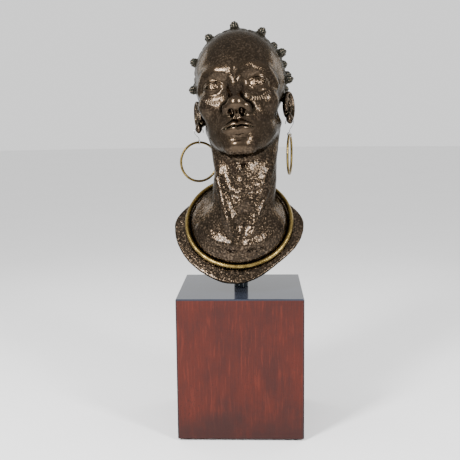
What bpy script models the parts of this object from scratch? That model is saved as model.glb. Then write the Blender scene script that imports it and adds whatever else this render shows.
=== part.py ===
"""Woman's head on a long neck in bronze, with knotted hair, a brass neck ring and
brass hoop earrings, on a post and a square lacquered block.

Metres, +Z up, face towards -Y. The origin is on the table, under the middle of
the block. Left and right are the bust's own: left is +X.
"""
from math import cos, pi, radians, sin

import bpy
import numpy as np

MM = 0.001
GAP = 0.3

# Block, feet and post, in millimetres
FOOT_HEIGHT = 3.0
FOOT_RADIUS = 9.0
FOOT_INSET = 14.0
BLOCK_SIDE = 190.0
BLOCK_HEIGHT = 215.0
BLOCK_EDGE = 1.2
BLOCK_TOP = FOOT_HEIGHT + BLOCK_HEIGHT
POST_RADIUS = 11.0
SOCKET_TOP = 374.0
SOCKET_CLEARANCE = 0.35
BOSS_RADIUS = 17.5
BOSS_BOTTOM = 313.0
BOSS_CAP = 3.0

# Mantle: an oval yoke that lies in one leaning plane, the ring on top of it, clear
# of the flange below it and of the nape behind it
MANTLE_AT = (-2.3, -9.0, 322.4)
MANTLE_LEAN = 50.0
MANTLE_ROLL = 2.3
RING_RADIUS = 81.0
RING_WIRE = 3.5
RING_CLEARANCE = 0.7
FLANGE_DROP = RING_WIRE + RING_CLEARANCE
FLANGE_THICK = 5.0
DOME_RADII = (74.0, 72.0, 36.0)
WALL = 5.5
NECK_PATH = ((2, -16, 333), (8, -13, 388), (9, -8, 428), (6, 2, 473))
NECK_RADII = (49, 48, 47.5, 50)

# Head: its own frame has x to the left, y to the back, z up, and its middle
# between the ears at the height of the eyes
HEAD_AT = (2.4, 0.0, 511.0)
HEAD_BACK = 15.5
HEAD_ROLL = 5.5
HEAD_TURN = 4.0
HEAD_REACH = 136.0
SKULL_AT = (0.0, 8.0, 32.0)
SKULL_RADII = (70.0, 86.0, 76.0)
KNOT_RADIUS = 7.4
KNOT_HEIGHT = 6.4
KNOT_ROWS = ((-17, (0, 33, 65, 95)), (14, (15, 47)), (43, (0, 31, 63)),
             (72, (16, 46, 72)), (101, (0, 32, 60)))

# Ears and earrings
EAR_AT = (68.0, 20.0, -19.0)
EAR_TURN = 24.0
EAR_LEAN = 12.0
LOBE_AT = (6.0, -3.0, -19.0)
LOBE_RADII = (4.8, 7.4, 7.6)
LOBE_HOLE_AT = (6.0, -3.0, -21.0)
LOBE_HOLE = 1.4
EAR_WIRE = 0.65
EAR_WIRE_REACH = 6.9
EYE_RADIUS = 3.1
HOOP_RADIUS = 30.1
HOOP_WIRE = 1.9
HOOP_TOP = {"left": 457.5, "right": 446.5}
HOOP_TURN = {"left": 82.0, "right": 25.0}

# Fineness of the cast form
CELL = 2.0
BUST_TRIANGLES = 5800


def vec(*a):
    return np.array(a, np.float32)


def unit(a):
    a = np.array(a, float)
    return a / np.linalg.norm(a)


def length(v):
    return np.sqrt((v * v).sum(-1))


# Solid forms as signed distances, and the ways they join

def ellipsoid(p, centre, radii):
    r = vec(*radii)
    q = (p - vec(*centre)) / r
    k = length(q)
    return k * (k - 1) / np.maximum(length(q / r), 1e-9)


def cone(p, a, b, ra, rb):
    a, b = vec(*a), vec(*b)
    t = np.clip(((p - a) @ (b - a)) / ((b - a) @ (b - a)), 0, 1)
    return length(p - a - t[:, None] * (b - a)) - (ra + (rb - ra) * t)


def chain(p, points, radii):
    d = None
    for a, b, ra, rb in zip(points[:-1], points[1:], radii[:-1], radii[1:]):
        c = cone(p, a, b, ra, rb)
        d = c if d is None else np.minimum(d, c)
    return d


def blend(a, b, k):
    h = np.clip(0.5 + 0.5 * (b - a) / k, 0, 1)
    return b + (a - b) * h - k * h * (1 - h)


def carve(a, b, k):
    return -blend(-a, b, k)


def rounded(a, b, r):
    a, b = a + r, b + r
    outside = np.sqrt(np.maximum(a, 0) ** 2 + np.maximum(b, 0) ** 2)
    return np.minimum(np.maximum(a, b), 0) + outside - r


def step(x, lo, hi):
    t = np.clip((x - lo) / (hi - lo), 0, 1)
    return t * t * (3 - 2 * t)


def bump(x, w):
    return np.exp(-(x / w) ** 2)


# The head

def head_axes():
    t, r, u = radians(HEAD_BACK), radians(HEAD_ROLL), radians(HEAD_TURN)
    back = np.array([[1, 0, 0], [0, cos(t), sin(t)], [0, -sin(t), cos(t)]])
    roll = np.array([[cos(r), 0, -sin(r)], [0, 1, 0], [sin(r), 0, cos(r)]])
    turn = np.array([[cos(u), sin(u), 0], [-sin(u), cos(u), 0], [0, 0, 1]])
    return turn @ roll @ back


def ear_axes():
    a, b = radians(EAR_TURN), radians(EAR_LEAN)
    turn = np.array([[cos(a), sin(a), 0], [-sin(a), cos(a), 0], [0, 0, 1]])
    lean = np.array([[1, 0, 0], [0, cos(b), sin(b)], [0, -sin(b), cos(b)]])
    return turn @ lean


def mantle_axes():
    a, b = radians(MANTLE_LEAN), radians(MANTLE_ROLL)
    across = np.array([cos(b), 0, sin(b)])
    up = np.array([0, cos(a), sin(a)])
    up = unit(up - across * (across @ up))
    return np.stack([across, up, np.cross(across, up)], 1)


HEAD = head_axes()
EAR = ear_axes()
MANTLE = mantle_axes()


def from_ear(point, side):
    """A point of the left ear's frame, or its mirror image, in the room."""
    q = np.array(EAR_AT) + EAR @ np.array(point)
    q[0] *= side
    return np.array(HEAD_AT) + HEAD @ q


def knots():
    """Where each hair knot stands on the skull, and the way it points."""
    c, r = np.array(SKULL_AT), np.array(SKULL_RADII)
    out = []
    for back, sides in KNOT_ROWS:
        for across in sides:
            for side in ((1, -1) if across else (1,)):
                a, b = radians(back), radians(across * side)
                d = np.array([sin(b), cos(b) * sin(a), cos(b) * cos(a)])
                out.append((c + r * d, unit(d / r)))
    return out


def hair(p):
    out = np.full(len(p), 1e3, np.float32)
    for foot, n in knots():
        q = p - vec(*foot)
        near = (q * q).sum(1) < 45 ** 2
        if not near.any():
            continue
        q, n = q[near], vec(*n)
        h = q @ n
        rho = length(q - h[:, None] * n)
        tent = cone(q, -7 * n, 3 * n, 15, 5.2)
        ball = np.sqrt(rho ** 2 + ((h - KNOT_HEIGHT) * 1.12) ** 2) - KNOT_RADIUS
        out[near] = np.minimum(out[near], blend(tent, ball, 2.5))
    return out


def mouth(x, z):
    """How far the lips stand out of the face."""
    ax = np.abs(x)
    t = z + 67.0 + 0.0016 * x * x
    wide = np.clip(1 - (ax / 26.0) ** 2.2, 0, 1)
    upper = np.clip(t / (10.0 * wide ** 0.75 + 0.1), 0, 1)
    lower = np.clip(-t / (12.0 * wide ** 0.75 + 0.1), 0, 1)
    out = np.where(t > 0, 5.4 * np.sin(pi * upper ** 0.62), 6.0 * np.sin(pi * lower ** 0.62))
    out = out * wide ** 0.7
    out -= 1.7 * step(26.5 - ax, 0, 6) * bump(t, 1.8)
    return out - 1.4 * bump(ax - 27.5, 3.6) * bump(t + 0.5, 3.8)


def face_relief(x, z):
    ax = np.abs(x)
    out = mouth(x, z)
    out -= 1.2 * step(z, -58, -54) * step(-z, 45, 49) * bump(x, 3.2)
    out -= 3.0 * bump(x, 17) * bump(z + 83.5, 4.5)
    fold = (ax - 17) * 0.86 + (z + 40) * 0.42
    return out - 0.9 * bump(fold, 3.4) * step(z, -66, -52) * step(-z, 34, 44)


def eye(s):
    e = s - vec(30.5, -58.5, -1)
    a, b = e[:, 0], e[:, 2]
    upper = 5.0 * np.clip(1 - (a / 13.8) ** 2, 0, 1) ** 0.75
    lower = -4.3 * np.clip(1 - (a / 13.8) ** 2, 0, 1) ** 0.8
    seen = step(np.minimum(upper - b, b - lower), -0.6, 1.4)
    return length(e) - (17.8 - 1.9 * seen)


def ear(s):
    e = ((s - vec(*EAR_AT)) @ EAR.astype(np.float32))
    d = ellipsoid(e, (0, 0, 4), (5, 13, 21))
    turns = [radians(205 - 21 * i) for i in range(13)]
    rim = [(3.4, 13 * cos(t), 4 + 22.5 * sin(t)) for t in turns]
    d = blend(d, chain(e, rim, [3.0] * len(rim)), 2.5)
    d = carve(d, ellipsoid(e, (7, 1.5, 1), (5.5, 8.5, 16)), 3)
    d = blend(d, cone(e, (2.5, 4, 13), (2.5, 3, -8), 2.4, 2.4), 3)
    d = blend(d, ellipsoid(e, (2.5, -10, -5), (3.4, 3.6, 4.6)), 3)
    d = carve(d, ellipsoid(e, (-3, -3, -24), (5, 14, 10)), 2)
    lobe = blend(cone(e, (3.5, -2, -9), LOBE_AT, 3.4, 3.8), ellipsoid(e, LOBE_AT, LOBE_RADII), 3)
    return blend(d, lobe, 2.5)


def head(p):
    x, z = p[:, 0], p[:, 2]
    w = p.copy()
    w[:, 1] += face_relief(x, z) * step(-p[:, 1], 40, 60)
    s = w.copy()
    s[:, 0] = np.abs(s[:, 0])
    # skull, cheeks, jaw, chin
    d = ellipsoid(p, SKULL_AT, SKULL_RADII)
    d = blend(d, ellipsoid(w, (0, -20, 10), (58, 61, 72)), 18)
    d = blend(d, ellipsoid(w, (0, -32, -46), (50, 45, 52)), 20)
    d = blend(d, cone(s, (44, -2, -46), (11, -62, -88), 13, 14), 18)
    d = blend(d, ellipsoid(w, (0, -66, -89), (17, 17, 15)), 14)
    d = blend(d, ellipsoid(s, (39, -49, -22), (20, 20, 17)), 16)
    d = blend(d, ellipsoid(w, (0, -59, -64), (30, 26, 24)), 14)
    # brow, eye sockets, temples
    brow = [(5, -75, 18), (26, -74, 22), (44, -61, 18), (54, -42, 6)]
    d = blend(d, chain(s, brow, [6, 6, 6, 5]), 14)
    d = carve(d, ellipsoid(s, (28, -85, -1), (20, 12, 12)), 10)
    d = carve(d, ellipsoid(s, (80, -40, 22), (14, 26, 22)), 14)
    # nose
    nose = chain(s, [(0, -70, 10), (0, -77, -10), (0, -87, -31)], [8.5, 8.5, 10])
    nose = blend(nose, ellipsoid(s, (0, -88, -33), (12, 11, 9.5)), 6)
    nose = blend(nose, ellipsoid(s, (13.5, -79, -37.5), (8.6, 10.5, 7.4)), 6)
    nose = blend(nose, cone(s, (0, -91, -40), (0, -82, -46), 4, 4.5), 3)
    d = blend(d, nose, 8)
    d = carve(d, ellipsoid(s, (7.8, -87, -46), (4.2, 6.5, 6.0)), 3)
    d = blend(d, eye(s), 3)
    d = blend(d, ear(s), 4)
    return blend(d, hair(p), 2.5)


# Neck, chest and mantle

def rim_radius(angle):
    """Outline of the mantle; the angle is in degrees, 0 in front."""
    return (84.5 + 16.5 * step(-np.abs(angle + 3), -122, -88)
            + 5.5 * bump(angle + 6, 22) - 8.0 * bump(angle - 40, 26))


def body(p):
    m = (p - vec(*MANTLE_AT)) @ MANTLE.astype(np.float32)
    u, v, n = m[:, 0], m[:, 1], m[:, 2]
    angle = np.degrees(np.arctan2(u, -v))
    rim = np.sqrt(u * u + v * v) - rim_radius(angle)
    half = FLANGE_THICK / 2
    flange = rounded(rim, np.abs(n + FLANGE_DROP + half) - half, 1.8)
    underside = -(n + FLANGE_DROP + FLANGE_THICK)

    q = p.copy()
    q[:, 1] = -9 + (q[:, 1] + 9) * 1.05
    neck = chain(q, NECK_PATH, NECK_RADII)
    d = blend(ellipsoid(m, (0, -1, -6), DOME_RADII), neck, 14 + 20 * step(-v, -25, 25))
    for side in (1, -1):
        # the long muscle from behind the ear to the pit of the neck
        cord = [(side * 46 + 7, 16, 473), (side * 34 + 6, -38, 403), (side * 8 + 2, -58, 311)]
        d = blend(d, chain(p, cord, [12, 8, 5]), 10)
    d = carve(d, ellipsoid(p, (2, -70, 307), (9, 14, 13)), 9)
    for side in (1, -1):
        collar_bone = [(side * 10 + 1, -58, 300), (side * 34, -50, 306), (side * 60, -28, 321)]
        d = blend(d, chain(p, collar_bone, [6, 5.5, 4]), 10)
    d = blend(d, cone(p, (5, -48, 405), (3, -52, 355), 9, 7), 12)
    d = blend(np.maximum(d, underside), flange, 5)
    # hollow underneath, with a boss left standing for the post
    hollow = [r - WALL for r in DOME_RADII]
    d = carve(d, ellipsoid(m, (0, 1, -12), (hollow[0], hollow[1], hollow[2] + 6)), 3)
    boss = np.maximum(p[:, 2] - SOCKET_TOP - BOSS_CAP, BOSS_BOTTOM - p[:, 2])
    boss = np.maximum(boss, length(p[:, :2]) - BOSS_RADIUS)
    d = blend(d, np.maximum(boss, underside), 4)
    # room for the ring to lie in
    ring = np.sqrt((np.sqrt(u * u + v * v) - RING_RADIUS) ** 2 + n * n)
    return carve(d, ring - RING_WIRE - RING_CLEARANCE, 1)


def bust(p):
    out = np.full(len(p), 1e3, np.float32)
    high = p[:, 2] > HEAD_AT[2] - HEAD_REACH
    out[high] = head((p[high] - vec(*HEAD_AT)) @ HEAD.astype(np.float32))
    return blend(body(p), out, 12)


# From signed distance to closed skin: one point in every cell that the surface
# crosses, one quad across every grid edge that it cuts

def sample(field, lo, count, cell):
    """The field on a grid, worked out finely only near the surface."""
    ratio = 4
    axes = [lo[i] + cell * np.arange(count[i]) for i in range(3)]
    rough = np.stack(np.meshgrid(*[a[::ratio] for a in axes], indexing="ij"), -1)
    shape = rough.shape[:3]
    value = field(rough.reshape(-1, 3).astype(np.float32)).reshape(shape)
    near = np.abs(value) < cell * ratio * 1.9
    blocks = np.zeros([n - 1 for n in shape], bool)
    for corner in np.ndindex(2, 2, 2):
        blocks |= near[tuple(slice(c, c + b) for c, b in zip(corner, blocks.shape))]
    grid = np.where(value < 0, -1e3, 1e3).astype(np.float32)
    for axis in range(3):
        grid = np.repeat(grid, ratio, axis)
        blocks = np.repeat(blocks, ratio, axis)
    grid = grid[:count[0], :count[1], :count[2]].copy()
    fine = np.zeros(count, bool)
    for corner in np.ndindex(2, 2, 2):
        fine[tuple(slice(c, c + b) for c, b in zip(corner, blocks.shape))] |= blocks
    points = (np.array(lo) + np.argwhere(fine) * cell).astype(np.float32)
    grid[fine] = np.concatenate([field(part) for part in np.array_split(points, 8)])
    return grid


def unpinch(grid):
    """Fill the places where the skin would only touch itself along an edge."""
    inside = grid < 0
    for axes in ((0, 1), (1, 2), (0, 2)):
        faces = []
        for corner in ((0, 0), (0, 1), (1, 0), (1, 1)):
            part = [slice(None)] * 3
            for axis, c in zip(axes, corner):
                part[axis] = slice(c, grid.shape[axis] - 1 + c)
            faces.append(tuple(part))
        a, b, c, d = [inside[f] for f in faces]
        pinched = ((a & d) & ~(b | c)) | ((b & c) & ~(a | d))
        for f in faces:
            grid[f] = np.where(pinched & (grid[f] >= 0), -0.1, grid[f])
    return grid


def skin(grid, lo, cell):
    inside = grid < 0
    size = np.array(grid.shape) - 1
    total = np.zeros(size, int)
    for corner in np.ndindex(2, 2, 2):
        total += inside[tuple(slice(c, c + s) for c, s in zip(corner, size))]
    crossed = (total > 0) & (total < 8)
    cells = np.argwhere(crossed)
    number = np.full(crossed.shape, -1, int)
    number[crossed] = np.arange(len(cells))
    place = np.zeros((len(cells), 3))
    cuts = np.zeros(len(cells))
    for corner in np.ndindex(2, 2, 2):
        for axis in range(3):
            if corner[axis]:
                continue
            other = np.array(corner)
            other[axis] = 1
            a = grid[tuple((cells + corner).T)]
            b = grid[tuple((cells + other).T)]
            cut = (a < 0) != (b < 0)
            spot = np.tile(np.array(corner, float), (int(cut.sum()), 1))
            spot[:, axis] = a[cut] / (a[cut] - b[cut])
            place[cut] += spot
            cuts[cut] += 1
    points = np.array(lo) + (cells + place / cuts[:, None]) * cell
    quads = []
    for axis in range(3):
        e, f = (axis + 1) % 3, (axis + 2) % 3
        low, high = [slice(1, -1)] * 3, [slice(1, -1)] * 3
        low[axis], high[axis] = slice(0, -1), slice(1, None)
        a, b = inside[tuple(low)], inside[tuple(high)]
        at = np.argwhere(a != b)
        out = ~a[tuple(at.T)]
        at[:, e] += 1
        at[:, f] += 1
        corners = []
        for de, df in ((-1, -1), (0, -1), (0, 0), (-1, 0)):
            c = at.copy()
            c[:, e] += de
            c[:, f] += df
            corners.append(number[tuple(c.T)])
        quad = np.stack(corners, 1)
        quad[out] = quad[out][:, ::-1]
        quads.append(quad)
    return points, np.concatenate(quads)


# Blender objects

def material(name, colour, metallic, roughness):
    made = bpy.data.materials.new(name)
    made.use_nodes = True
    shader = made.node_tree.nodes["Principled BSDF"]
    shader.inputs["Base Color"].default_value = (*colour, 1)
    shader.inputs["Metallic"].default_value = metallic
    shader.inputs["Roughness"].default_value = roughness
    return made


def add(name, points, faces, look, smooth=True):
    mesh = bpy.data.meshes.new(name)
    mesh.from_pydata([tuple(q) for q in np.asarray(points, float) * MM], [], faces)
    mesh.polygons.foreach_set("use_smooth", [smooth] * len(mesh.polygons))
    mesh.materials.append(look)
    mesh.update()
    obj = bpy.data.objects.new(name, mesh)
    bpy.context.scene.collection.objects.link(obj)
    return obj


def tube(path, radius, sides, closed):
    """Points and faces of a round wire bent along a path."""
    path = np.array(path, float)
    count = len(path)
    radius = np.broadcast_to(radius, count)
    ahead = np.roll(path, -1, 0) - np.roll(path, 1, 0)
    if not closed:
        ahead[0], ahead[-1] = path[1] - path[0], path[-1] - path[-2]
    ahead /= np.linalg.norm(ahead, axis=1)[:, None]
    side = np.cross(ahead[0], (0.31, 0.86, 0.41))
    points = []
    for k in range(count):
        side = unit(side - ahead[k] * (side @ ahead[k]))
        other = np.cross(ahead[k], side)
        for i in range(sides):
            a = 2 * pi * i / sides
            points.append(path[k] + radius[k] * (cos(a) * side + sin(a) * other))
    faces = []
    for k in range(count if closed else count - 1):
        near, far = k * sides, (k + 1) % count * sides
        for i in range(sides):
            j = (i + 1) % sides
            faces.append((near + i, near + j, far + j, far + i))
    if not closed:
        faces.append(tuple(range(sides))[::-1])
        faces.append(tuple((count - 1) * sides + i for i in range(sides)))
    return points, faces


def circle(centre, across, up, radius, count):
    turns = [2 * pi * i / count for i in range(count)]
    return [np.array(centre) + radius * (cos(t) * across + sin(t) * up) for t in turns]


def cylinder(name, radius, bottom, top, sides, look, x=0.0, y=0.0):
    ring = circle((x, y, bottom), unit((1, 0, 0)), unit((0, 1, 0)), radius, sides)
    points = ring + [q + np.array((0, 0, top - bottom)) for q in ring]
    faces = [(i, (i + 1) % sides, sides + (i + 1) % sides, sides + i) for i in range(sides)]
    faces.append(tuple(range(sides))[::-1])
    faces.append(tuple(range(sides, 2 * sides)))
    obj = add(name, points, faces, look)
    obj.data.polygons[sides].use_smooth = False
    obj.data.polygons[sides + 1].use_smooth = False
    return obj


def cut(obj, path, radius, sides):
    """Drill a round hole along a straight path of two points."""
    points, faces = tube(path, radius, sides, False)
    tool = add(obj.name + "_drill", points, faces, obj.data.materials[0])
    tool.hide_render = True
    tool.display_type = "WIRE"
    change = obj.modifiers.new("hole", "BOOLEAN")
    change.operation = "DIFFERENCE"
    change.solver = "EXACT"
    change.object = tool


for old in list(bpy.data.objects):
    bpy.data.objects.remove(old)

BRONZE = material("bronze", (0.10, 0.062, 0.042), 1.0, 0.4)
BRASS = material("brass", (0.50, 0.33, 0.10), 1.0, 0.3)
WIRE = material("ear_wire_steel", (0.35, 0.35, 0.36), 1.0, 0.35)
BLACK_METAL = material("post_metal", (0.03, 0.035, 0.04), 1.0, 0.3)
BLOCK_PAINT = material("block_paint", (0.16, 0.04, 0.027), 0.0, 0.45)
PAD = material("foot_pad", (0.012, 0.012, 0.012), 0.0, 0.8)

# Feet: four round pads
reach = BLOCK_SIDE / 2 - FOOT_INSET
for depth, y in (("front", -reach), ("back", reach)):
    for side, x in (("left", reach), ("right", -reach)):
        cylinder("foot_%s_%s" % (depth, side), FOOT_RADIUS, 0, FOOT_HEIGHT - GAP, 24, PAD, x, y)

# Block
half = BLOCK_SIDE / 2
corners = [(x, y, z) for z in (FOOT_HEIGHT, BLOCK_TOP)
           for x, y in ((-half, -half), (half, -half), (half, half), (-half, half))]
sides = [(0, 3, 2, 1), (4, 5, 6, 7), (0, 1, 5, 4), (1, 2, 6, 5), (2, 3, 7, 6), (3, 0, 4, 7)]
block = add("block", corners, sides, BLOCK_PAINT, smooth=False)
edge = block.modifiers.new("edge", "BEVEL")
edge.width = BLOCK_EDGE * MM
edge.segments = 2

# Post
cylinder("post", POST_RADIUS, BLOCK_TOP + GAP, SOCKET_TOP - GAP, 32, BLACK_METAL)

# Bust: the cast form, thinned to few triangles, then drilled for the post and
# through both ear lobes
low = (-116.0, -128.0, 222.0)
count = [(int((high - low[i]) / CELL) // 4 + 1) * 4 + 1 for i, high in enumerate((116, 136, 636))]
grid = sample(bust, low, count, CELL)
for again in range(6):
    grid = unpinch(grid)
points, quads = skin(grid, low, CELL)
cast = add("bust", points, quads.tolist(), BRONZE)
thin = cast.modifiers.new("thin", "DECIMATE")
thin.ratio = BUST_TRIANGLES / (2 * len(quads))
cut(cast, [(0, 0, BLOCK_TOP), (0, 0, SOCKET_TOP)], POST_RADIUS + SOCKET_CLEARANCE, 32)

# Neck ring
centre = np.array(MANTLE_AT)
path = circle(centre, MANTLE[:, 0], MANTLE[:, 1], RING_RADIUS, 64)
add("neck_ring", *tube(path, RING_WIRE, 10, True), BRASS)

# Earrings: a bent wire through the lobe, and the hoop hanging in its eye
for name, side in (("left", 1), ("right", -1)):
    hole = from_ear(LOBE_HOLE_AT, side)
    out = from_ear(np.array(LOBE_HOLE_AT) + np.array((1, 0, 0)), side) - hole
    cut(cast, [hole - 9 * out, hole + 9 * out], LOBE_HOLE, 10)
    turn = radians(HOOP_TURN[name])
    along = np.array((cos(turn), sin(turn), 0))
    across = np.array((-sin(turn), cos(turn), 0))
    down = np.array((0, 0, -1))
    outer = hole + EAR_WIRE_REACH * out
    inner = hole - EAR_WIRE_REACH * out
    top = np.array((hole[0], hole[1], HOOP_TOP[name]))
    bend = 1.8
    path = [inner + 4.5 * down, inner + bend * down]
    path += [inner + bend * (1 - sin(t)) * down + bend * (1 - cos(t)) * out
             for t in (pi / 6, pi / 3, pi / 2)]
    path += [hole]
    path += [outer + bend * (1 - cos(t)) * down - bend * (1 - sin(t)) * out
             for t in (0, pi / 6, pi / 3, pi / 2)]
    eye_at = top + (HOOP_WIRE - 0.25) * down
    start, end = outer + 4.5 * down, eye_at - (EYE_RADIUS + 2) * down
    for t in (0, 0.25, 0.5, 0.75, 1):
        path += [(1 - t) ** 3 * start + 3 * t * (1 - t) ** 2 * (start + 4.5 * down)
                 + 3 * t ** 2 * (1 - t) * (end - 3 * down) + t ** 3 * end]
    path += [eye_at + EYE_RADIUS * (cos(t) * -down + sin(t) * across)
             for t in np.linspace(0.12, 2 * pi - 0.62, 14)]
    add("ear_wire_" + name, *tube(path, EAR_WIRE, 6, False), WIRE)
    hub = top - (HOOP_RADIUS + HOOP_WIRE) * np.array((0, 0, 1))
    path = circle(hub, along, -down, HOOP_RADIUS, 40)
    add("hoop_" + name, *tube(path, HOOP_WIRE, 8, True), BRASS)
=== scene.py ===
from math import cos, pi, radians, sin

import bpy
import numpy as np
from mathutils import Matrix, Vector


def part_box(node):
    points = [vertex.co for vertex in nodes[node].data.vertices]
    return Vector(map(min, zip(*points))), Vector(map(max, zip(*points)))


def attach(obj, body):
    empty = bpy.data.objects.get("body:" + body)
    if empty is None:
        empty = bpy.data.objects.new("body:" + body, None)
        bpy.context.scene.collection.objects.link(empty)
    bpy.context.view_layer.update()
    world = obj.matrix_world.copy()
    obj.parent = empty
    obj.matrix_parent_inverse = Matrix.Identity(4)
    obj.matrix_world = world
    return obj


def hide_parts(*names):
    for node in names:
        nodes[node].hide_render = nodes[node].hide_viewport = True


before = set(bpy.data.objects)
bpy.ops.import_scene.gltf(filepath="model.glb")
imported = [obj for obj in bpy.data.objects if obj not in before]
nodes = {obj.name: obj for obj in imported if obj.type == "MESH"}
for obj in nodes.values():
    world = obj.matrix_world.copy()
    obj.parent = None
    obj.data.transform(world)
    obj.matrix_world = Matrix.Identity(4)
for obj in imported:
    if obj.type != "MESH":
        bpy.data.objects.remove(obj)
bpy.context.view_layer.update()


# Feet: four round rubber pads glued under the corners of the block, which keep it
# clear of the table. Each is a moulded disc with a soft edge and a shallow dish
# below.

MM = 0.001


class Value:
    """A socket of a finish. Sums and products of values add its Math nodes."""

    def __init__(self, finish, socket):
        self.finish = finish
        self.socket = socket

    def math(self, operation, *terms):
        return self.finish.node("ShaderNodeMath", {"operation": operation}, dict(enumerate(terms)))

    def size(self):
        return self.math("ABSOLUTE", self)

    def wave(self):
        return self.math("SINE", self)

    def __add__(self, other):
        return self.math("ADD", self, other)

    def __sub__(self, other):
        return self.math("SUBTRACT", self, other)

    def __rsub__(self, other):
        return self.math("SUBTRACT", other, self)

    def __mul__(self, other):
        return self.math("MULTIPLY", self, other)

    __radd__ = __add__
    __rmul__ = __mul__

    def between(self, low, high):
        """0 below low, 1 above high, and a smooth step from one to the other."""
        return self.finish.node("ShaderNodeMapRange", {"interpolation_type": "SMOOTHSTEP"},
                                {"Value": self, "From Min": low, "From Max": high})


class Finish:
    """A material: constants on its own sockets, and nodes for what varies."""

    def __init__(self, name, **constants):
        self.material = bpy.data.materials.new(name)
        self.material.use_nodes = True
        self.tree = self.material.node_tree
        self.shader = self.tree.nodes["Principled BSDF"]
        for socket, value in constants.items():
            self.shader.inputs[socket.replace("_", " ")].default_value = value

    def node(self, kind, settings, sockets, output=0):
        made = self.tree.nodes.new(kind)
        for key, value in settings.items():
            setattr(made, key, value)
        for key, value in sockets.items():
            socket = made.inputs[key]
            if isinstance(value, Value):
                self.tree.links.new(value.socket, socket)
            elif socket.type == "RGBA":
                socket.default_value = (*value, 1)
            else:
                socket.default_value = value
        return Value(self, made.outputs[output])

    def place(self, stretch=(1, 1, 1)):
        """Object coordinates in metres, drawn out along some axes."""
        spot = self.node("ShaderNodeTexCoord", {}, {}, "Object")
        return self.node("ShaderNodeMapping", {}, {"Vector": spot, "Scale": stretch})

    def noise(self, place, size, detail=3.0, rough=0.5):
        """Clouds of about this size in metres, from 0 to 1."""
        return self.node("ShaderNodeTexNoise", {}, {"Vector": place, "Scale": 1 / size,
                                                    "Detail": detail, "Roughness": rough})

    def attribute(self, name, output="Fac"):
        return self.node("ShaderNodeAttribute", {"attribute_name": name}, {}, output)

    def mix(self, share, first, second):
        """The first colour where the share is 0, the second where it is 1."""
        return self.node("ShaderNodeMix", {"data_type": "RGBA"},
                         {0: share, 6: first, 7: second}, 2)

    def bump(self, height, depth):
        return self.node("ShaderNodeBump", {},
                         {"Height": height, "Distance": depth, "Strength": 1.0})

    def feed(self, **values):
        for socket, value in values.items():
            self.tree.links.new(value.socket, self.shader.inputs[socket.replace("_", " ")])


def alone(obj):
    bpy.ops.object.select_all(action="DESELECT")
    obj.select_set(True)
    bpy.context.view_layer.objects.active = obj


def modify(obj, kind, **settings):
    """Adds a modifier with these settings and applies it."""
    change = obj.modifiers.new(kind.lower(), kind)
    for key, value in settings.items():
        setattr(change, key, value)
    alone(obj)
    bpy.ops.object.modifier_apply(modifier=change.name)


def pick_faces(obj, chosen):
    """Opens a mesh in edit mode with only these faces selected."""
    alone(obj)
    bpy.context.tool_settings.mesh_select_mode = (False, False, True)
    bpy.ops.object.mode_set(mode="EDIT")
    bpy.ops.mesh.select_all(action="DESELECT")
    bpy.ops.object.mode_set(mode="OBJECT")
    obj.data.polygons.foreach_set("select", chosen)
    bpy.ops.object.mode_set(mode="EDIT")


def settle(obj, name, look):
    """Leaves a finished piece at the origin, with its place in its mesh."""
    alone(obj)
    bpy.ops.object.transform_apply(location=True, rotation=True, scale=True)
    obj.name = name
    obj.data.name = name
    obj.data.materials.clear()
    obj.data.materials.append(look.material)


rubber = Finish("foot_pad_rubber", Metallic=0.0, IOR=1.45)
spot = rubber.place()
dust = rubber.noise(spot, 0.004)
rubber.feed(Base_Color=rubber.mix(dust, (0.008, 0.008, 0.009), (0.03, 0.028, 0.026)),
            Roughness=0.6 + 0.3 * dust,
            Normal=rubber.bump(rubber.noise(spot, 0.0007), 0.0001))

PAD_SOFTNESS = 0.7 * MM
PAD_LIP = 2.5 * MM
PAD_DISH = 0.4 * MM
SHARP_EDGE = radians(60)
SMOOTH_UP_TO = radians(40)
feet = sorted(name for name in nodes if name.startswith("foot_"))
low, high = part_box(feet[0])
first_middle = (low + high) / 2
alone(nodes[feet[0]])
bpy.ops.mesh.primitive_cylinder_add(vertices=64, radius=(high.x - low.x) / 2,
                                    depth=high.z - low.z, location=first_middle)
pad = bpy.context.object
pick_faces(pad, [face.normal.z < -0.9 for face in pad.data.polygons])
bpy.ops.mesh.inset(thickness=PAD_LIP)
bpy.ops.mesh.inset(thickness=PAD_LIP, depth=-PAD_DISH)
bpy.ops.object.mode_set(mode="OBJECT")
modify(pad, "BEVEL", width=PAD_SOFTNESS, segments=4, limit_method="ANGLE",
       angle_limit=SHARP_EDGE)
settle(pad, "pad", rubber)
bpy.ops.object.shade_smooth_by_angle(angle=SMOOTH_UP_TO)
pads = [pad]
for name in feet[1:]:
    low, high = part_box(name)
    another = pad.copy()
    another.data = pad.data.copy()
    another.data.transform(Matrix.Translation((low + high) / 2 - first_middle))
    bpy.context.scene.collection.objects.link(another)
    pads.append(another)
for name, made in zip(feet, pads):
    made.name = name.replace("foot", "pad")
    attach(made, "root")
    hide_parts(name)


# Block: a square wooden box. Its sides are painted rust red in thin worn coats, with
# the brush and the grain showing. The top and its edge are black lacquer, rubbed to a
# high gloss. The modelled block keeps its shape and takes this finish.

lacquer = Finish("block_lacquer", Metallic=0.0, IOR=1.3)
TOP_EDGE = 2.3 * MM
RUBBED_EDGE = 1.6 * MM
DARKENING_HEIGHT = 75 * MM
WORN_RED = (0.030, 0.0050, 0.0032)
FRESH_RED = (0.048, 0.0064, 0.0030)
BRUSHED_RED = (0.09, 0.0135, 0.006)
WORN_THROUGH = (0.013, 0.004, 0.0035)
LOW_DARK_RED = (0.019, 0.0055, 0.0045)
RUBBED_CORNER = (0.010, 0.009, 0.012)
GLOSS_BLACK = (0.008, 0.010, 0.016)
HAZY_BLACK = (0.024, 0.028, 0.040)

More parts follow.
